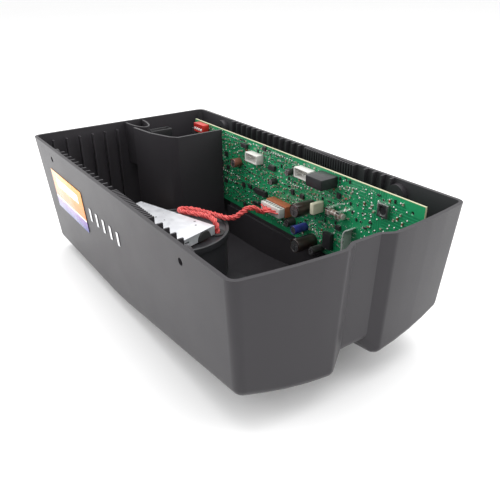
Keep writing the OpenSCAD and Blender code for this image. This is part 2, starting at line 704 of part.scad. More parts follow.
seat_h = 7;                                 // the shaft's free end, which takes the drive sprocket
circlip_t = 1;
circlip_z = plate_z + plate_t + 0.3;
shaft_top = circlip_z + circlip_t + seat_h;
module output_shaft() color("silver") difference() {
    at_output(lid_z + 0.3) cylinder(r = output_shaft_r, h = shaft_top - lid_z - 0.3);
    at_output(circlip_z) difference() {
        cylinder(r = output_shaft_r + 1, h = circlip_t);
        translate([0, 0, -1]) cylinder(r = output_shaft_r - 0.8, h = circlip_t + 2);
    }
    at_output(circlip_z + circlip_t + 1) translate([output_shaft_r - 1.5, -1.5, 0]) cube([3, 3, seat_h]);
}
module output_circlip() color([0.3, 0.3, 0.3]) at_output(circlip_z) difference() {
    cylinder(r = output_shaft_r + 1.6, h = circlip_t);
    translate([0, 0, -1]) cylinder(r = output_shaft_r - 0.8, h = circlip_t + 2);
    translate([0, -2, -1]) cube([20, 4, circlip_t + 2]);
}

// ---------------------------------------------------------------- loom

loom_r = 3;
module wire_grommet() color([0.08, 0.08, 0.08])
    translate([wire_hole_at[0], wire_hole_at[1], lid_z]) difference() {
        union() {
            cylinder(r = wire_hole_r + 1, h = lid_t);
            translate([0, 0, lid_t]) cylinder(r = wire_hole_r + 2.2, h = 1.2);
        }
        translate([0, 0, -1]) cylinder(r = loom_r + 0.2, h = lid_t + 4);
    }

// The route of the twisted loom, from the plug's face to the grommet in the motor lid
loom_route = [for (d = [0.1, 4.1, 8.1]) [board_x - plug_d - d, plug_y, plug_z],
              [42, -7.5, 72.6], [37, -7, 75.8], [31, -6.5, 76.6], [25, -6, 74], [19.5, -4.5, 71],
              [14.5, 0, 69.2], [11, 7, 69], [8, 15.5, 69], [4.5, 24, 69], [0.8, 31.5, 69.3], [-4.5, 37.8, 70],
              [-11.5, 40, 71.2], [-17, 36.3, 72.7], [-18.2, 29, 74], [-16.3, 21.5, 75.2], [-13.4, 14, 76],
              [-10.6, 6.5, 76.7], [-8, -0.5, 76.8], [-6.4, -6.8, 75.6], [-6, -11, 72], [-6, -12, 67.5],
              [-6, -12, lid_top - 1]];
// A smooth point on the route: i counts its pieces, t runs along one
function route_point(i, t) = let (
    n = len(loom_route) - 1,
    a = loom_route[max(0, i - 1)], b = loom_route[i], c = loom_route[i + 1], d = loom_route[min(n, i + 2)])
    0.5 * (2 * b + (c - a) * t + (2 * a - 5 * b + 4 * c - d) * t * t + (3 * b - a - 3 * c + d) * t * t * t);
loom_sides = 8;
loom_line = [for (i = [0:len(loom_route) - 2]) each [route_point(i, 0), route_point(i, 0.5)],
             loom_route[len(loom_route) - 1]];

function heading(i) = unit(loom_line[min(len(loom_line) - 1, i + 1)] - loom_line[max(0, i - 1)]);
// A side direction carried along the line, so that the tube doesn't twist
function sides_along(i, previous) = i == len(loom_line) ? [] :
    let (h = heading(i), s = unit(previous - (previous * h) * h)) concat([s], sides_along(i + 1, s));

module motor_loom() color([0.85, 0.2, 0.15]) {
    sides = sides_along(0, [0, 1, 0]);
    n = len(loom_line);
    points = [for (i = [0:n - 1]) for (k = [0:loom_sides - 1]) let (a = 360 * k / loom_sides)
        loom_line[i] + loom_r * (cos(a) * sides[i] + sin(a) * cross(heading(i), sides[i]))];
    walls = [for (i = [0:n - 2]) for (k = [0:loom_sides - 1]) let (m = (k + 1) % loom_sides)
        each [[i * loom_sides + k, (i + 1) * loom_sides + k, (i + 1) * loom_sides + m],
              [i * loom_sides + k, (i + 1) * loom_sides + m, i * loom_sides + m]]];
    ends = [[for (k = [0:loom_sides - 1]) k],
            [for (k = [loom_sides - 1:-1:0]) (n - 1) * loom_sides + k]];
    polyhedron(points, concat(walls, ends));
}

hood();
label_sticker();
marking_bars();
circuit_board();
relay();
motor_header();
loom_plug();
signal_headers();
main_capacitors();
blue_capacitor();
small_capacitors();
fuse();
fuse_clips();
film_capacitor();
heat_bracket();
power_transistor();
logic_chips();
small_parts();
lamp_window();
switch_block();
slider_1();
slider_2();
slider_3();
slider_4();
button_housings();
learn_button();
test_button();
mains_socket();
socket_contacts();
transformer_ring();
transformer_pad();
transformer_dish();
transformer_bolt();
motor_housing();
motor_screws();
motor_lid();
lid_screws();
stator_core();
stator_coils();
hall_board();
motor_bearings();
rotor_cup();
rotor_magnets();
motor_shaft();
motor_pinion();
bracket_plate();
plate_standoffs();
arch_buffer();
output_bushings();
output_gear();
output_shaft();
output_circlip();
wire_grommet();
motor_loom();
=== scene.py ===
"""Motor head of a garage door opener, lying open on its belly in a plain studio."""

import json
import math
import random

import bpy
from mathutils import Matrix, Vector


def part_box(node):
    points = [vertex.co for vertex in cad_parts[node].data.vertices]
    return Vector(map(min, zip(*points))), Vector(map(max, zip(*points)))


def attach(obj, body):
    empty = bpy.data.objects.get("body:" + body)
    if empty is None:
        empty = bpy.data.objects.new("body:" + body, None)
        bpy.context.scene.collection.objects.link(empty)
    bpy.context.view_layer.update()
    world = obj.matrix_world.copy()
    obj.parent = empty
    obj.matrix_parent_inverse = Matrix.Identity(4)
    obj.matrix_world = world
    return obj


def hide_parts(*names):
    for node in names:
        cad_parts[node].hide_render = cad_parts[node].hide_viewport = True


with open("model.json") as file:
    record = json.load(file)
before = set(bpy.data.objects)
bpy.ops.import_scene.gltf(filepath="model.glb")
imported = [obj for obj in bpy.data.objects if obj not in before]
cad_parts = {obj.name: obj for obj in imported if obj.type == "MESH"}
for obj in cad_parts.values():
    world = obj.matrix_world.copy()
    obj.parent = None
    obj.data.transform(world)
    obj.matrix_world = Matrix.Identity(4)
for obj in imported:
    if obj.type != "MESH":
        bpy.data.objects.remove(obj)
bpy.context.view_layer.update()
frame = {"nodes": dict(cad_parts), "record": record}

# ---------------------------------------------------------------- studio
# A pale floor, a white room and three soft lights: one large overhead, one low at the left
# that the long side mirrors, and a weak one at the right.


def camera_at(place, yaw, pitch, roll, lens):
    ahead = Vector((math.sin(yaw) * math.cos(pitch), math.cos(yaw) * math.cos(pitch), -math.sin(pitch)))
    level = Vector((math.cos(yaw), -math.sin(yaw), 0))
    upright = level.cross(ahead)
    right = level * math.cos(roll) + upright * math.sin(roll)
    above = upright * math.cos(roll) - level * math.sin(roll)
    bpy.ops.object.camera_add()
    camera = bpy.context.object
    turned = Matrix((right, above, -ahead)).transposed()
    camera.matrix_world = Matrix.Translation(place) @ turned.to_4x4()
    camera.data.lens = lens
    camera.data.clip_start, camera.data.clip_end = 0.01, 20
    bpy.context.scene.camera = camera


camera_at(Vector((-0.236, -0.4037, 0.274)), 0.59500821, 0.46470878, -0.01469801, 40.49)


def softbox(name, place, aim, size, power):
    bpy.ops.object.light_add(type="AREA", location=place)
    lamp = bpy.context.object
    lamp.name = name
    lamp.rotation_euler = (Vector(aim) - Vector(place)).to_track_quat("-Z", "Y").to_euler()
    lamp.data.size = size
    lamp.data.energy = power


softbox("overhead_light", (0.2, 0.1, 1.7), (0, 0, 0), 2.0, 24)
softbox("left_light", (-1.2, 1.2, 0.6), (-0.1, 0, 0.06), 1.2, 15)
softbox("right_light", (1.3, -0.9, 0.9), (0.05, -0.15, 0.05), 1.2, 10)

room = bpy.data.worlds.new("white_room")
room.use_nodes = True
room.node_tree.nodes["Background"].inputs["Color"].default_value = (1, 1, 1, 1)
room.node_tree.nodes["Background"].inputs["Strength"].default_value = 1.0
bpy.context.scene.world = room
bpy.context.scene.view_settings.view_transform = "Standard"


class Flow:
    """A value on its way through a material; sums and products of it add their own nodes."""

    def __init__(self, tree, socket):
        self.tree, self.socket = tree, socket

    def node(self, kind, sockets, out=0, **settings):
        made = self.tree.nodes.new(kind)
        for name, value in settings.items():
            setattr(made, name, value)
        for name, value in sockets.items():
            if isinstance(value, Flow):
                self.tree.links.new(value.socket, made.inputs[name])
            else:
                made.inputs[name].default_value = value
        return Flow(self.tree, made.outputs[out])

    def math(self, operation, first, second=0.0):
        return self.node("ShaderNodeMath", {0: first, 1: second}, operation=operation)

    def __add__(self, other):
        return self.math("ADD", self, other)

    def __sub__(self, other):
        return self.math("SUBTRACT", self, other)

    def __rsub__(self, other):
        return self.math("SUBTRACT", other, self)

    def __mul__(self, other):
        return self.math("MULTIPLY", self, other)

    def __gt__(self, other):
        return self.math("GREATER_THAN", self, other)

    def __lt__(self, other):
        return self.math("LESS_THAN", self, other)

    __radd__, __rmul__ = __add__, __mul__

    def part(self, axis):
        return self.node("ShaderNodeSeparateXYZ", {"Vector": self}, axis)

    def fract(self):
        return self.math("FRACT", self)

    def noise(self, scale, detail=2.0):
        return self.node("ShaderNodeTexNoise", {"Vector": self, "Scale": scale, "Detail": detail})

    def cells(self, scale, out="Distance", **settings):
        return self.node("ShaderNodeTexVoronoi", {"Vector": self, "Scale": scale}, out, **settings)

    def ramp(self, low, high, to_low=0.0, to_high=1.0):
        return self.node("ShaderNodeMapRange", {
            "Value": self, "From Min": low, "From Max": high, "To Min": to_low, "To Max": to_high})

    def colour(self, none, full):
        """From one colour to another as this value goes from 0 to 1."""
        ends = [c if isinstance(c, Flow) else (*c, 1) for c in (none, full)]
        return self.node("ShaderNodeMix", {0: self, 6: ends[0], 7: ends[1]}, 2, data_type="RGBA")

    def bump(self, depth, strength=1.0):
        return self.node("ShaderNodeBump", {"Height": self, "Distance": depth, "Strength": strength})

    def into(self, shader, name):
        self.tree.links.new(self.socket, shader.inputs[name])


def finish(name, colour, roughness, metallic=0.0, **fixed):
    """A new material, its shader and its place on the piece, to build patterns from."""
    made = bpy.data.materials.new(name)
    made.use_nodes = True
    shader = made.node_tree.nodes["Principled BSDF"]
    shader.inputs["Base Color"].default_value = (*colour, 1)
    shader.inputs["Roughness"].default_value = roughness
    shader.inputs["Metallic"].default_value = metallic
    for socket, value in fixed.items():
        shader.inputs[socket.replace("_", " ")].default_value = value
    place = made.node_tree.nodes.new("ShaderNodeTexCoord").outputs["Object"]
    return made, shader, Flow(made.node_tree, place)


bpy.ops.mesh.primitive_plane_add(size=60)
floor = bpy.context.object
floor.name = "studio_floor"
paper, shader, place = finish("pale_paper", (0.97, 0.97, 0.97), 0.8, Specular_IOR_Level=0.1)
place.noise(3).colour((0.96, 0.96, 0.96), (0.98, 0.98, 0.98)).into(shader, "Base Color")
floor.data.materials.append(paper)

# ---------------------------------------------------------------- motor loom
# Eight insulated copper wires from the motor, twisted in pairs and the pairs into one soft
# red bundle, which ends in a plug on the board.

body_of = {node: body for body, nodes in frame["record"]["behaviour"]["bodies"].items() for node in nodes}


def keep(piece, node, name=None):
    """The piece stands in for a CAD node, which is hidden; the piece takes a name and rides on that node's
    body.
    """
    piece.name = name or node + "_piece"
    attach(piece, body_of[node])
    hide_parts(node)


def only(*pieces):
    bpy.ops.object.select_all(action="DESELECT")
    for piece in pieces:
        piece.select_set(True)
    bpy.context.view_layer.objects.active = pieces[0]


loom_route = [
    (54.9, -8, 70), (50.9, -8, 70), (46.9, -8, 70), (42, -7.5, 72.6), (37, -7, 75.8), (31, -6.5, 76.6),
    (25, -6, 74), (19.5, -4.5, 71), (14.5, 0, 69.2), (11, 7, 69), (8, 15.5, 69), (4.5, 24, 69),
    (0.8, 31.5, 69.3), (-4.5, 37.8, 70), (-11.5, 40, 71.2), (-17, 36.3, 72.7), (-18.2, 29, 74),
    (-16.3, 21.5, 75.2), (-13.4, 14, 76), (-10.6, 6.5, 76.7), (-8, -0.5, 76.8), (-6.4, -6.8, 75.6),
    (-6, -11, 72), (-6, -12, 67.5), (-6, -12, 63)]
loom_radius = 0.003
wire_radius = 0.00072
twist_length = 0.026
pair_twist_length = 0.0085
wires_in_loom = 8


def smooth_line(points, steps):
    """Points along a soft line through the given ones, which are in millimetres."""
    points = [Vector(p) / 1000 for p in points]
    line = []
    for i in range(len(points) - 1):
        a, b = points[max(0, i - 1)], points[i]
        c, d = points[i + 1], points[min(len(points) - 1, i + 2)]
        for k in range(steps):
            t = k / steps
            line.append((2 * b + (c - a) * t + (2 * a - 5 * b + 4 * c - d) * t * t
                         + (3 * b - a - 3 * c + d) * t ** 3) / 2)
    return line + [points[-1]]


def wire(name, line, radius, material):
    """A wire of that radius along a line, as a mesh tube with closed ends."""
    curve = bpy.data.curves.new(name, "CURVE")
    curve.dimensions = "3D"
    curve.bevel_depth = radius
    curve.bevel_resolution = 2
    curve.use_fill_caps = True
    spline = curve.splines.new("POLY")
    spline.points.add(len(line) - 1)
    for point, at in zip(spline.points, line):
        point.co = (*at, 1)
    made = bpy.data.objects.new(name, curve)
    bpy.context.collection.objects.link(made)
    only(made)
    bpy.ops.object.convert(target="MESH")
    made = bpy.context.object
    made.data.materials.clear()
    made.data.materials.append(material)
    bpy.ops.object.shade_smooth()
    return made


red_wire, shader, place = finish("red_wire", (0.6, 0.06, 0.05), 0.38, Coat_Weight=0.2)
place.noise(180).ramp(0.35, 0.65).colour((0.6, 0.055, 0.055), (0.8, 0.12, 0.11)).into(shader, "Base Color")
place.noise(900).bump(0.0001).into(shader, "Normal")

loom_line = smooth_line(loom_route, 9)
aside = Vector((0, 1, 0))
travelled, strands = 0.0, [[] for _ in range(wires_in_loom)]
for i, point in enumerate(loom_line):
    ahead = (loom_line[min(i + 1, len(loom_line) - 1)] - loom_line[max(0, i - 1)]).normalized()
    aside = (aside - ahead * aside.dot(ahead)).normalized()
    across = ahead.cross(aside)
    if i:
        travelled += (point - loom_line[i - 1]).length
    for k, strand in enumerate(strands):
        pair = k // 2
        turn = 2 * math.pi * (pair / 4 + travelled / twist_length)
        reach = (loom_radius - 2.1 * wire_radius) * (1 - 0.2 * math.sin(travelled * 230 + 2.1 * pair) ** 2)
        own_turn = 2 * math.pi * (travelled / pair_twist_length + k / 2)
        strand.append(point + reach * (aside * math.cos(turn) + across * math.sin(turn))
                      + 1.05 * wire_radius * (aside * math.cos(own_turn) + across * math.sin(own_turn)))
wires = [wire(f"loom_wire_{k}", strand, wire_radius, red_wire) for k, strand in enumerate(strands)]
only(*wires)
bpy.ops.object.join()
loom = bpy.context.object
keep(loom, "motor_loom", "loom_wires")

# ---------------------------------------------------------------- hood
# One injection moulding in black filled plastic, with vent combs, bosses and a corner pocket
# moulded in. Its faces have a fine spark-eroded grain, and its edges are rounded.


def merged(node):
    """A copy of a CAD node's mesh with its corners joined, to work on."""
    source = frame["nodes"][node]
    piece = bpy.data.objects.new(node + "_piece", source.data.copy())
    bpy.context.collection.objects.link(piece)
    only(piece)
    bpy.ops.mesh.customdata_custom_splitnormals_clear()
    bpy.ops.object.mode_set(mode="EDIT")
    bpy.ops.mesh.select_all(action="SELECT")
    bpy.ops.mesh.remove_doubles(threshold=0.000002)
    bpy.ops.object.mode_set(mode="OBJECT")
    piece.data.materials.clear()
    return piece


def add_and_apply(piece, kind, **settings):
    only(piece)
    modifier = piece.modifiers.new(kind.lower(), kind)
    for name, value in settings.items():
        setattr(modifier, name, value)
    bpy.ops.object.modifier_apply(modifier=modifier.name)


hood_plastic, shader, place = finish("hood_plastic", (0.036, 0.034, 0.038), 0.34, Specular_IOR_Level=0.2)
grain = place.noise(1600, 4)
place.noise(9, 5).colour((0.03, 0.028, 0.031), (0.042, 0.0395, 0.044)).into(shader, "Base Color")
(place.noise(35, 4) * 0.12 + grain * 0.06 + 0.25).into(shader, "Roughness")
grain.bump(0.00012, 0.6).into(shader, "Normal")

hood = merged("hood")
hood.data.materials.append(hood_plastic)
only(hood)
bpy.ops.object.shade_smooth_by_angle(angle=math.radians(24))
add_and_apply(hood, "WEIGHTED_NORMAL", keep_sharp=True, mode="FACE_AREA", weight=60)
keep(hood, "hood", "hood_shell")

# ---------------------------------------------------------------- maker's sticker
# A glossy printed film on the long side, warm above and violet at its foot, and a row of
# white bars printed beside it. Both are plain shapes.

film, shader, place = finish("printed_film", (0.9, 0.3, 0.05), 0.3, Coat_Weight=0.4)
low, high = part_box("label_sticker")
height = place.part(2).ramp(low.z, high.z)
warm = height.ramp(0.35, 1).colour((0.82, 0.24, 0.05), (0.95, 0.4, 0.07))
foot = height.ramp(0.0, 0.2).colour((0.06, 0.09, 0.32), (0.22, 0.12, 0.42))
lower = (height > 0.3).colour(foot, warm)
stripe = (height > 0.26) * (height < 0.31)
along = place.part(1)
panel = (height > 0.62) * (height < 0.84) * (along > low.y + 0.012) * (along < high.y - 0.012)
(stripe + panel).colour(lower, (0.9, 0.86, 0.8)).into(shader, "Base Color")
place.noise(60).ramp(0.4, 0.6, 0.22, 0.36).into(shader, "Roughness")
place.noise(700).bump(0.00003).into(shader, "Normal")

white_print, shader, place = finish("white_print", (0.82, 0.82, 0.83), 0.5)
place.noise(400).ramp(0.3, 0.5).colour((0.68, 0.68, 0.7), (0.85, 0.85, 0.86)).into(shader, "Base Color")


def softened(node, width, material, segments=2):
    """A CAD node's shape with its sharp edges rounded by that width."""
    piece = merged(node)
    piece.data.materials.append(material)
    only(piece)
    bpy.ops.object.mode_set(mode="EDIT")
    bpy.ops.mesh.select_all(action="SELECT")
    bpy.ops.mesh.dissolve_limited(angle_limit=math.radians(0.5))
    bpy.ops.object.mode_set(mode="OBJECT")
    add_and_apply(piece, "BEVEL", width=width, segments=segments, limit_method="ANGLE",
                  angle_limit=math.radians(32), use_clamp_overlap=True)
    only(piece)
    bpy.ops.object.shade_smooth_by_angle(angle=math.radians(34))
    keep(piece, node)


def paint(material, *nodes):
    """CAD nodes that are shown as they are take a material."""
    for node in nodes:
        for place_for_it in frame["nodes"][node].material_slots:
            place_for_it.material = material


softened("label_sticker", 0.00008, film)
softened("marking_bars", 0.00005, white_print)

# ---------------------------------------------------------------- circuit board
# Glass fibre board, solder-masked green over copper tracks on both faces, with a cream raw
# edge. Tinned pads stand in rows where wires and plugs are soldered through it.

solder_mask, shader, place = finish("solder_mask", (0.02, 0.3, 0.14), 0.35, Coat_Weight=0.3)
low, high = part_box("circuit_board")
along, up = place.part(1), place.part(2)
patch = place.cells(55, "Color", distance="CHEBYCHEV").part(0)
lengthways = (up * 420).fract() < 0.42
upwards = (along * 420).fract() < 0.42
runs = (patch > 0.5) * lengthways + (patch < 0.34) * upwards
poured = place.noise(28, 1) > 0.56
track = (runs + poured) > 0.5
board_green = track.colour((0.01, 0.22, 0.09), (0.016, 0.33, 0.13))
dots = place.cells(430)
crowded = place.noise(22) > 0.47
via = (dots < 0.2) * crowded
dashes = ((up * 260).fract() < 0.1) * (place.cells(130, "Color").part(0) > 0.8) * crowded
marked = dashes.colour(board_green, (0.55, 0.66, 0.56))
tinned = via.colour(marked, (0.6, 0.62, 0.58))
raw_edge = (up > high.z - 0.0004) + (along < low.y + 0.0003) + (along > high.y - 0.0003)
raw_edge.ramp(0, 1).colour(tinned, (0.5, 0.48, 0.3)).into(shader, "Base Color")
(via * 0.9).into(shader, "Metallic")
(track * 0.5 + via).bump(0.00006, 0.7).into(shader, "Normal")
softened("circuit_board", 0.0001, solder_mask, 1)

tin, shader, place = finish("solder_tin", (0.75, 0.75, 0.72), 0.28, 1.0)
(place.noise(300) * 0.25 + 0.15).into(shader, "Roughness")
place.noise(1500).bump(0.00005).into(shader, "Normal")

board_front = low.x


def islands(node):
    """The boxes round each loose part of a CAD node."""
    mesh = merged(node)
    only(mesh)
    bpy.ops.mesh.separate(type="LOOSE")
    parts = list(bpy.context.selected_objects)
    boxes = []
    for part in parts:
        points = [v.co for v in part.data.vertices]
        boxes.append((Vector([min(p[i] for p in points) for i in range(3)]),
                      Vector([max(p[i] for p in points) for i in range(3)])))
        bpy.data.objects.remove(part)
    return boxes


taken = [box for node in (
    "relay", "motor_header", "signal_headers", "main_capacitors", "blue_capacitor", "small_capacitors", "fuse",
    "film_capacitor", "heat_bracket", "power_transistor", "logic_chips", "lamp_window", "switch_block",
    "button_housings") for box in islands(node)]


def free(y, z, half_y, half_z):
    """Whether nothing yet stands at a place on the board."""
    return all(y + half_y < b[0].y or y - half_y > b[1].y or z + half_z < b[0].z or z - half_z > b[1].z
               for b in taken)


def copies(model, name, places):
    """Copies of a small model at each (x, y, z, quarter turns on the board), joined as one piece."""
    made = []
    for x, y, z, turns in places:
        mesh = model.data.copy()
        mesh.transform(Matrix.Translation((x, y, z)) @ Matrix.Rotation(turns * math.pi / 2, 4, "X"))
        copy = bpy.data.objects.new(name, mesh)
        bpy.context.collection.objects.link(copy)
        made.append(copy)
    bpy.data.objects.remove(model)
    only(*made)
    bpy.ops.object.join()
    piece = bpy.context.object
    piece.name = name
    return piece


def solid(low, high, material, edge=0.0, segments=1):
    """A block between two corners with its edges bevelled."""
    middle = (Vector(low) + Vector(high)) / 2
    bpy.ops.object.select_all(action="DESELECT")
    bpy.ops.mesh.primitive_cube_add(size=1, location=middle)
    made = bpy.context.object
    made.scale = Vector(high) - Vector(low)
    bpy.ops.object.transform_apply(location=True, rotation=True, scale=True)
    made.data.materials.append(material)
    if edge:
        add_and_apply(made, "BEVEL", width=edge, segments=segments)
    return made


def joined(*pieces):
    only(*pieces)
    bpy.ops.object.join()
    return bpy.context.object


def pad():
    """A flat dome of solder round a pin."""
    bpy.ops.object.select_all(action="DESELECT")
    bpy.ops.mesh.primitive_cylinder_add(vertices=8, radius=0.0009, depth=0.0003, rotation=(0, math.pi / 2, 0))
    made = bpy.context.object
    bpy.ops.object.transform_apply(location=True, rotation=True, scale=True)
    bpy.ops.object.mode_set(mode="EDIT")
    bpy.ops.mesh.select_all(action="DESELECT")
    bpy.ops.object.mode_set(mode="OBJECT")
    for face in made.data.polygons:
        face.select = face.normal.x < -0.9
    bpy.ops.object.mode_set(mode="EDIT")
    bpy.ops.mesh.inset(thickness=0.0003)
    bpy.ops.transform.translate(value=(-0.0003, 0, 0))
    bpy.ops.mesh.inset(thickness=0.0003)
    bpy.ops.transform.translate(value=(-0.0004, 0, 0))
    bpy.ops.object.mode_set(mode="OBJECT")
    made.data.materials.append(tin)
    bpy.ops.object.shade_smooth_by_angle(angle=math.radians(40))
    return made


pad_rows = [  # first y and z, step along y and z, and how many
    (-0.166, 0.060, 0.0, 0.0051, 9), (-0.157, 0.062, 0.0, 0.0051, 8), (-0.146, 0.052, 0.0051, 0, 9),
    (-0.146, 0.058, 0.0051, 0, 9), (-0.148, 0.080, 0.0051, 0, 6), (-0.120, 0.084, 0.0, 0.0051, 6),
    (-0.112, 0.096, 0.0051, 0, 4), (-0.104, 0.112, 0.0051, 0.0, 5), (-0.112, 0.055, 0.0, 0.0051, 5),
    (-0.150, 0.097, 0.0051, 0, 3), (-0.064, 0.100, 0.0051, 0, 5), (-0.020, 0.118, 0.0035, 0, 12),
    (0.046, 0.118, 0.0035, 0, 14), (0.072, 0.070, 0.0038, 0, 12), (0.072, 0.078, 0.0038, 0, 12),
    (0.012, 0.060, 0.0038, 0, 7), (-0.034, 0.096, 0.0038, 0, 6), (0.092, 0.102, 0.0, 0.0038, 4)]
pad_places = [(board_front, y + k * dy, z + k * dz, 0)
              for y, z, dy, dz, count in pad_rows for k in range(count)
              if free(y + k * dy, z + k * dz, 0.001, 0.001)]
pads = copies(pad(), "solder_pads", pad_places)
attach(pads, "head")

# ---------------------------------------------------------------- small soldered parts
# Chip resistors, ceramic chip capacitors, small transistors and glass diodes, placed by
# machine and soldered flat on the board's front.

chip_black, shader, place = finish("chip_black", (0.02, 0.02, 0.021), 0.5)
(place.noise(500) * 0.2 + 0.4).into(shader, "Roughness")
place.noise(2500).bump(0.00004).into(shader, "Normal")
ceramic, shader, place = finish("chip_ceramic", (0.33, 0.24, 0.15), 0.5)
place.noise(90).ramp(0.35, 0.65).colour((0.2, 0.14, 0.09), (0.45, 0.36, 0.25)).into(shader, "Base Color")
diode_glass, shader, place = finish("diode_glass", (0.35, 0.06, 0.03), 0.2, Coat_Weight=0.6)
place.noise(120).ramp(0.4, 0.6).colour((0.4, 0.05, 0.02), (0.25, 0.12, 0.06)).into(shader, "Base Color")


def chip(length, width, height, body, edge=0.00008):
    """A chip with tinned ends, lying on the board with its length upwards."""
    cap = 0.2 * length
    return joined(
        solid((-height, -width / 2, -length / 2 + cap), (0, width / 2, length / 2 - cap), body, edge),
        solid((-height * 1.06, -width * 0.52, -length / 2), (0, width * 0.52, -length / 2 + cap), tin, edge),
        solid((-height * 1.06, -width * 0.52, length / 2 - cap), (0, width * 0.52, length / 2), tin, edge))


def three_legs():
    body = solid((-0.0011, -0.00145, -0.00065), (-0.0001, 0.00145, 0.00065), chip_black, 0.0001)
    legs = [solid((-0.0003, y - 0.0002, z), (0, y + 0.0002, z + 0.0007), tin)
            for y, z in ((-0.00095, 0.0006), (0.00095, 0.0006), (0, -0.0013))]
    return joined(body, *legs)


def eight_legs():
    body = solid((-0.0018, -0.0025, -0.002), (-0.0001, 0.0025, 0.002), chip_black, 0.0002)
    legs = [solid((-0.0008, y - 0.0002, z), (0, y + 0.0002, z + 0.001), tin)
            for y in (-0.0019, -0.00063, 0.00063, 0.0019) for z in (-0.003, 0.002)]
    return joined(body, *legs)


draw = random.Random(11)
grid = 0.00127
kinds = [("small_packages", eight_legs, 16, 0.0036),
         ("tinned_vias", pad, 170, 0.0009),
         ("chip_resistors", lambda: chip(0.0021, 0.00135, 0.0006, chip_black), 300, 0.0013),
         ("chip_capacitors", lambda: chip(0.0021, 0.0014, 0.0011, ceramic), 220, 0.0013),
         ("glass_diodes", lambda: chip(0.0036, 0.0015, 0.0015, diode_glass, 0.0004), 26, 0.002),
         ("small_transistors", three_legs, 60, 0.0018)]
board_low, board_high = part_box("circuit_board")
for name, model, count, half in kinds:
    places = []
    tries = 0
    while len(places) < count and tries < 20000:
        tries += 1
        y = board_low.y + 0.006 + draw.random() * (board_high.y - board_low.y - 0.012)
        z = board_low.z + 0.006 + draw.random() * (board_high.z - board_low.z - 0.009)
        y, z = round(y / grid) * grid, round(z / grid) * grid
        # the near end of the board is nearly bare, and its far end thinly filled
        crowd = 0.06 if y < -0.1 else 0.45 if y < -0.07 else 0.6 if y > 0.115 else 1.0
        if name == "tinned_vias":
            crowd = 1 - 0.6 * crowd
        if draw.random() > crowd or not free(y, z, half, half):
            continue
        taken.append((Vector((0, y - half, z - half)), Vector((0, y + half, z + half))))
        places.append((board_front - 0.00002, y, z, draw.choice((0, 1))))
    piece = copies(model(), name, places)
    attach(piece, "head")
    if name == "chip_resistors":
        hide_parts("small_parts")

# ---------------------------------------------------------------- capacitors
# Electrolytic capacitors: aluminium cans in a shrink sleeve that turns over the rim, with a
# cross-scored vent in the bare end. The groove where the can is crimped on its rubber plug is not drawn.

bare_aluminium, shader, place = finish("bare_aluminium", (0.72, 0.72, 0.73), 0.32, 1.0)
(place.noise(600) * 0.25 + 0.2).into(shader, "Roughness")


def sleeve(name, dark, light):
    made, shader, place = finish(name, dark, 0.3, Coat_Weight=0.35)
    place.noise(140).ramp(0.35, 0.65).colour(dark, light).into(shader, "Base Color")
    place.noise(500).bump(0.00004).into(shader, "Normal")
    return made


brown_sleeve = sleeve("brown_sleeve", (0.012, 0.008, 0.007), (0.03, 0.018, 0.014))
blue_sleeve = sleeve("blue_sleeve", (0.02, 0.025, 0.2), (0.04, 0.05, 0.32))
grey_sleeve = sleeve("grey_sleeve", (0.012, 0.012, 0.012), (0.03, 0.028, 0.028))
rust_sleeve = sleeve("rust_sleeve", (0.13, 0.04, 0.025), (0.2, 0.07, 0.045))


def faces_at(piece, wanted):
    """In edit mode, with just the faces for which wanted(face) holds selected."""
    only(piece)
    bpy.ops.object.mode_set(mode="EDIT")
    bpy.ops.mesh.select_mode(type="FACE")
    bpy.ops.mesh.select_all(action="DESELECT")
    bpy.ops.object.mode_set(mode="OBJECT")
    for face in piece.data.polygons:
        face.select = wanted(face)
    bpy.ops.object.mode_set(mode="EDIT")


def capacitor(box, colour):
    """A can lying out of the board between a box's corners."""
    low, high = box
    radius, depth = (high.y - low.y) / 2, high.x - low.x
    middle = (low + high) / 2
    bpy.ops.object.select_all(action="DESELECT")
    bpy.ops.mesh.primitive_cylinder_add(vertices=32, radius=radius, depth=depth, location=middle,
                                        rotation=(0, math.pi / 2, 0))
    can = bpy.context.object
    bpy.ops.object.transform_apply(location=True, rotation=True, scale=True)
    can.data.materials.append(colour)
    can.data.materials.append(bare_aluminium)
    faces_at(can, lambda face: face.normal.x < -0.9)
    bpy.ops.mesh.inset(thickness=radius * 0.14)
    bpy.ops.mesh.inset(thickness=radius * 0.03)
    bpy.ops.transform.translate(value=(radius * 0.05, 0, 0))
    bpy.context.object.active_material_index = 1
    bpy.ops.object.material_slot_assign()
    bpy.ops.mesh.inset(thickness=radius * 0.1)
    bpy.ops.object.mode_set(mode="OBJECT")
    add_and_apply(can, "BEVEL", width=radius * 0.1, segments=3, limit_method="ANGLE",
                  angle_limit=math.radians(60))
    # the vent's scores are thin black strips on the bare end: painted shade in the score grooves
    score = 0.00018
    vent_shade = []
    for half_y, half_z in ((radius * 0.55, score), (score, radius * 0.55)):
        vent_shade.append(solid((low.x - 0.00002, middle.y - half_y, middle.z - half_z),
                           (low.x + 0.0006, middle.y + half_y, middle.z + half_z), chip_black, 0.00005))
    only(can)
    bpy.ops.object.shade_smooth_by_angle(angle=math.radians(32))
    return joined(can, *vent_shade)


for node, colour in (("main_capacitors", brown_sleeve), ("blue_capacitor", blue_sleeve),
                     ("small_capacitors", grey_sleeve)):
    keep(joined(*[capacitor(box, rust_sleeve if box[0].y > 0.05 else colour) for box in islands(node)]), node)

# ---------------------------------------------------------------- relay, fuse and power parts
# The relay is a sealed black box. The fuse is a glazed tube in two tinned clips, and the
# flat power transistor is clamped beside a bent strip that carries its heat away.

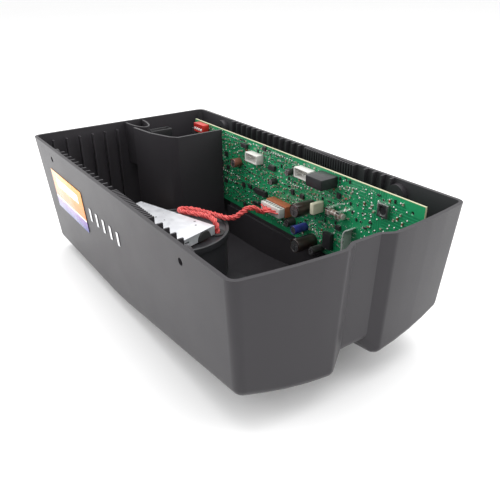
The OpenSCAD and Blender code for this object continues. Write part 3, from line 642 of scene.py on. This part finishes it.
satin_black, shader, place = finish("satin_black", (0.018, 0.018, 0.02), 0.35)
(place.noise(200) * 0.25 + 0.25).into(shader, "Roughness")
place.noise(1800).bump(0.00005).into(shader, "Normal")
cream_film, shader, place = finish("cream_film", (0.68, 0.66, 0.5), 0.45)
place.noise(200).colour((0.62, 0.6, 0.44), (0.74, 0.72, 0.56)).into(shader, "Base Color")
galvanised, shader, place = finish("galvanised_strip", (0.7, 0.71, 0.69), 0.45, 0.5)
(place.cells(300, "Color").part(0) * 0.25 + 0.25).into(shader, "Roughness")
place.noise(40).colour((0.62, 0.63, 0.61), (0.8, 0.81, 0.79)).into(shader, "Base Color")
glazed_tube, shader, place = finish("glazed_tube", (0.2, 0.13, 0.1), 0.2, Coat_Weight=0.5)
bands = ((place.part(1) * 240).fract() < 0.3)
bands.colour((0.22, 0.16, 0.13), (0.45, 0.42, 0.38)).into(shader, "Base Color")

softened("relay", 0.0005, satin_black, 3)
softened("fuse", 0.0004, glazed_tube)
softened("film_capacitor", 0.0008, cream_film, 3)
softened("heat_bracket", 0.0002, galvanised)
softened("power_transistor", 0.0004, satin_black)
paint(tin, "fuse_clips")

# ---------------------------------------------------------------- plugs and their pins
# Shrouded headers soldered upright on the board, with square tinned pins, and the loom's
# plug with a crimped contact window for each wire.

nylon, shader, place = finish("white_nylon", (0.66, 0.65, 0.62), 0.45)
place.noise(150).colour((0.58, 0.57, 0.54), (0.72, 0.71, 0.68)).into(shader, "Base Color")
orange_nylon, shader, place = finish("orange_nylon", (0.4, 0.11, 0.05), 0.45)
place.noise(150).colour((0.34, 0.09, 0.035), (0.45, 0.14, 0.06)).into(shader, "Base Color")
softened("motor_header", 0.0004, orange_nylon)
softened("signal_headers", 0.0004, nylon)
softened("loom_plug", 0.0004, nylon)
low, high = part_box("loom_plug")
contacts = wires_in_loom
pitch = (high.y - low.y) / contacts
# each contact window is a thin black slab on the plug's top: painted shade in the opening
windows = [solid((low.x + 0.002, low.y + (k + 0.3) * pitch, high.z - 0.0002),
                 (low.x + 0.0052, low.y + (k + 0.7) * pitch, high.z + 0.0001), satin_black, 0.00005)
           for k in range(contacts)]
windows = joined(*windows)
windows.name = "plug_window_shade"
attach(windows, "head")

# each wire leaves its own contact and runs into the loom; in millimetres, as the loom's route
plug_face = low.x * 1000
_, loom_y, loom_z = loom_route[0]
widest_reach = 13
upper_row = 1.4
leads = []
for k in range(contacts):
    y = (low.y + (k + 0.5) * pitch) * 1000
    spread = (y - loom_y) / widest_reach
    step = upper_row * (k % 2)
    line = [(plug_face + 0.5, y, loom_z + step), (plug_face - 1.2, y - 0.6 * spread, loom_z + 0.4 + step),
            (52.3, loom_y + 7.5 * spread, loom_z + 0.6 + k % 2),
            (49.6, loom_y + 3.2 * spread, loom_z + 0.2), (46.5, loom_y + 1.6 * spread, loom_z + 0.3)]
    leads.append(wire(f"lead_{k}", smooth_line(line, 6), wire_radius, red_wire))
leads = joined(*leads)
leads.name = "plug_leads"
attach(leads, "head")

pins = []
for low, high in islands("signal_headers"):
    middle = (low + high) / 2
    for k in range(4):
        y = middle.y + (k - 1.5) * 0.0038
        pins.append(solid((low.x + 0.0012, y - 0.0005, middle.z - 0.0005),
                          (low.x + 0.0062, y + 0.0005, middle.z + 0.0005), tin, 0.00015))
pins = joined(*pins)
pins.name = "header_pins"
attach(pins, "head")

# ---------------------------------------------------------------- logic chips
# Moulded epoxy packages with tinned gull legs along both long sides and a round dimple at
# the first leg.

chips = []
for low, high in islands("logic_chips"):
    body = solid((low.x, low.y, low.z + 0.0006), (high.x - 0.0002, high.y, high.z - 0.0006),
                 chip_black, 0.0002, 2)
    middle = (low + high) / 2
    bpy.ops.object.select_all(action="DESELECT")
    bpy.ops.mesh.primitive_cylinder_add(vertices=12, radius=0.0005, depth=0.0002, rotation=(0, math.pi / 2, 0),
                                        location=(low.x, low.y + 0.0014, high.z - 0.002))
    dimple = bpy.context.object
    bpy.ops.object.transform_apply(location=True, rotation=True, scale=True)
    dimple.data.materials.append(satin_black)
    add_and_apply(dimple, "BEVEL", width=0.00005)
    legs = max(3, round((high.y - low.y) / grid) - 1)
    for k in range(legs):
        y = middle.y + (k - (legs - 1) / 2) * grid
        for z, out in ((low.z, -1), (high.z, 1)):
            chips.append(solid((middle.x, y - 0.0002, z - 0.0006 * (out > 0)),
                               (middle.x + 0.0002, y + 0.0002, z + 0.0006 * (out < 0)), tin))
            chips.append(solid((middle.x, y - 0.0002, z), (high.x, y + 0.0002, z - out * 0.0002), tin))
    chips += [body, dimple]
keep(joined(*chips), "logic_chips")

# ---------------------------------------------------------------- lamp window and controls
# A square socket with a round window for the lamp sensor, a red block of four setting
# slides, and two push buttons in square housings.

satin_metal, shader, place = finish("satin_metal", (0.42, 0.45, 0.43), 0.35, 1.0)
(place.noise(400) * 0.2 + 0.22).into(shader, "Roughness")
switch_red, shader, place = finish("switch_red", (0.5, 0.02, 0.015), 0.35)
place.noise(200).colour((0.42, 0.015, 0.012), (0.56, 0.03, 0.02)).into(shader, "Base Color")
slide_white, shader, place = finish("slide_white", (0.82, 0.82, 0.8), 0.35)
place.noise(300).colour((0.76, 0.76, 0.73), (0.86, 0.86, 0.84)).into(shader, "Base Color")

softened("lamp_window", 0.0003, satin_metal)
low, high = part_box("lamp_window")
middle = (low + high) / 2
bpy.ops.object.select_all(action="DESELECT")
bpy.ops.mesh.primitive_cylinder_add(vertices=32, radius=0.0034, depth=0.0004, rotation=(0, math.pi / 2, 0),
                                    location=(low.x + 0.0012, middle.y, middle.z))
lens = bpy.context.object
bpy.ops.object.transform_apply(location=True, rotation=True, scale=True)
lens.data.materials.append(satin_black)
faces_at(lens, lambda face: face.normal.x < -0.9)
bpy.ops.mesh.inset(thickness=0.0008)
bpy.ops.transform.translate(value=(0.0001, 0, 0))
bpy.ops.object.mode_set(mode="OBJECT")
add_and_apply(lens, "BEVEL", width=0.0001)
lens.name = "lamp_lens"
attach(lens, "head")
softened("switch_block", 0.0003, switch_red)
for k in range(1, 5):
    softened(f"slider_{k}", 0.0002, slide_white)
softened("button_housings", 0.0002, satin_black)
softened("learn_button", 0.0002, switch_red)
softened("test_button", 0.0002, slide_white)

# ---------------------------------------------------------------- mains side
# A black appliance socket stands in the corner pocket. The ring transformer, wound with
# copper under overlapping clear-brown tape, is clamped by a dished steel washer.

softened("mains_socket", 0.0006, satin_black, 3)
paint(tin, "socket_contacts")
rubber, shader, place = finish("black_rubber", (0.02, 0.02, 0.02), 0.75)
place.noise(800).bump(0.0001).into(shader, "Normal")
paint(rubber, "transformer_pad")

low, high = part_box("transformer_ring")
middle = (low + high) / 2
tape, shader, place = finish("winding_tape", (0.2, 0.1, 0.03), 0.28, Coat_Weight=0.5)
spoke = place.node("ShaderNodeMapping", {"Vector": place, "Location": (-middle.x, -middle.y, 0)})
angle = place.math("ARCTAN2", spoke.part(1), spoke.part(0))
# the tape is painted darker along one edge of each lap and between the copper turns under it; the darkening
# between the turns is painted shade in the grooves they leave in the tape
lap = (angle * 5.7 + place.part(2) * 40).fract()
turns = place.math("SINE", angle * 210)
(lap.ramp(0, 0.12, 0.55, 1) * turns.ramp(-1, 1, 0.75, 1)).colour((0.08, 0.03, 0.01), (0.32, 0.15, 0.05)).into(
    shader, "Base Color")
(lap + turns * 0.1).bump(0.0003).into(shader, "Normal")
softened("transformer_ring", 0.0002, tape)

zinc, shader, place = finish("zinc_plating", (0.8, 0.81, 0.83), 0.4, 0.55)
spangle = place.cells(170, "Color").part(0)
specks = (place.cells(150) < 0.16) * (place.noise(60) > 0.5)
cloud = place.noise(24, 4)
tone = spangle * 0.35 + cloud * 0.65
plated = tone.colour((0.66, 0.67, 0.71), (0.82, 0.825, 0.85))
specks.colour(plated, (0.12, 0.12, 0.13)).into(shader, "Base Color")
(spangle * 0.1 + cloud * 0.2 + 0.24).into(shader, "Roughness")
(spangle * 0.3 + place.noise(500)).bump(0.00003).into(shader, "Normal")
softened("transformer_dish", 0.0004, zinc)

plated_screw, shader, place = finish("plated_screw", (0.68, 0.68, 0.67), 0.3, 1.0)
(place.noise(300) * 0.2 + 0.2).into(shader, "Roughness")
place.noise(60).colour((0.6, 0.6, 0.58), (0.76, 0.75, 0.72)).into(shader, "Base Color")
softened("transformer_bolt", 0.0003, plated_screw)

# ---------------------------------------------------------------- motor
# A flat brushless motor in a moulded can with a lid. Inside are nine wound teeth on a sleeve,
# a steel cup with magnets that turns round them, two ball bearings and the sensor board.

motor_plastic, shader, place = finish("motor_plastic", (0.02, 0.02, 0.022), 0.35)
place.noise(20, 4).colour((0.024, 0.024, 0.027), (0.04, 0.04, 0.044)).into(shader, "Base Color")
(place.noise(60, 4) * 0.25 + 0.22).into(shader, "Roughness")
place.noise(1400, 3).bump(0.0001, 0.5).into(shader, "Normal")
softened("motor_housing", 0.0008, motor_plastic, 3)
softened("motor_lid", 0.0006, motor_plastic, 3)

laminated, shader, place = finish("laminated_steel", (0.3, 0.3, 0.32), 0.45, 1.0)
sheets = (place.part(2) * 2000).fract() < 0.25
sheets.colour((0.34, 0.34, 0.36), (0.12, 0.12, 0.13)).into(shader, "Base Color")
copper, shader, place = finish("enamelled_copper", (0.5, 0.17, 0.05), 0.3, 1.0)
# the copper's colour runs dark between the turns and light on their crowns: painted shade and painted
# highlight of the round wire; the bump gives the turns their relief
turns = place.math("SINE", place.part(2) * 9000)
turns.ramp(-1, 1).colour((0.3, 0.09, 0.03), (0.62, 0.24, 0.08)).into(shader, "Base Color")
turns.bump(0.0002).into(shader, "Normal")
ground_steel, shader, place = finish("ground_steel", (0.62, 0.62, 0.64), 0.25, 1.0)
(place.node("ShaderNodeMapping", {"Vector": place, "Scale": (1, 1, 60)}).noise(60) * 0.25 + 0.15).into(
    shader, "Roughness")
dark_steel, shader, place = finish("dark_steel", (0.2, 0.2, 0.21), 0.4, 1.0)
place.noise(50).colour((0.14, 0.14, 0.15), (0.27, 0.27, 0.28)).into(shader, "Base Color")
magnet, shader, place = finish("ferrite", (0.06, 0.06, 0.065), 0.6, 0.3)
place.noise(120).colour((0.04, 0.04, 0.045), (0.09, 0.09, 0.095)).into(shader, "Base Color")
paint(plated_screw, "motor_screws", "lid_screws")
paint(laminated, "stator_core")
paint(copper, "stator_coils")
paint(solder_mask, "hall_board")
paint(ground_steel, "motor_bearings", "motor_shaft")
paint(dark_steel, "rotor_cup")
paint(magnet, "rotor_magnets")

# ---------------------------------------------------------------- drive and bracket plate
# A machined pinion drives the wheel on the output shaft. Both lie under a zinc plated plate
# that stands on four pillars, with a folded edge and a rubber buffer in its arch.

gear_steel, shader, place = finish("gear_steel", (0.45, 0.44, 0.41), 0.35, 1.0)
(place.noise(90, 3) * 0.3 + 0.2).into(shader, "Roughness")
place.noise(30).colour((0.36, 0.35, 0.32), (0.54, 0.53, 0.49)).into(shader, "Base Color")
bronze, shader, place = finish("sintered_bronze", (0.42, 0.24, 0.1), 0.45, 1.0)
place.noise(700).colour((0.32, 0.18, 0.07), (0.5, 0.3, 0.13)).into(shader, "Base Color")
paint(gear_steel, "motor_pinion", "output_gear")
paint(bronze, "output_bushings")
softened("output_shaft", 0.0004, ground_steel)
paint(dark_steel, "output_circlip")
softened("plate_standoffs", 0.0002, plated_screw)
softened("bracket_plate", 0.0003, zinc, 3)
softened("arch_buffer", 0.0005, rubber, 3)
softened("wire_grommet", 0.0004, rubber, 3)
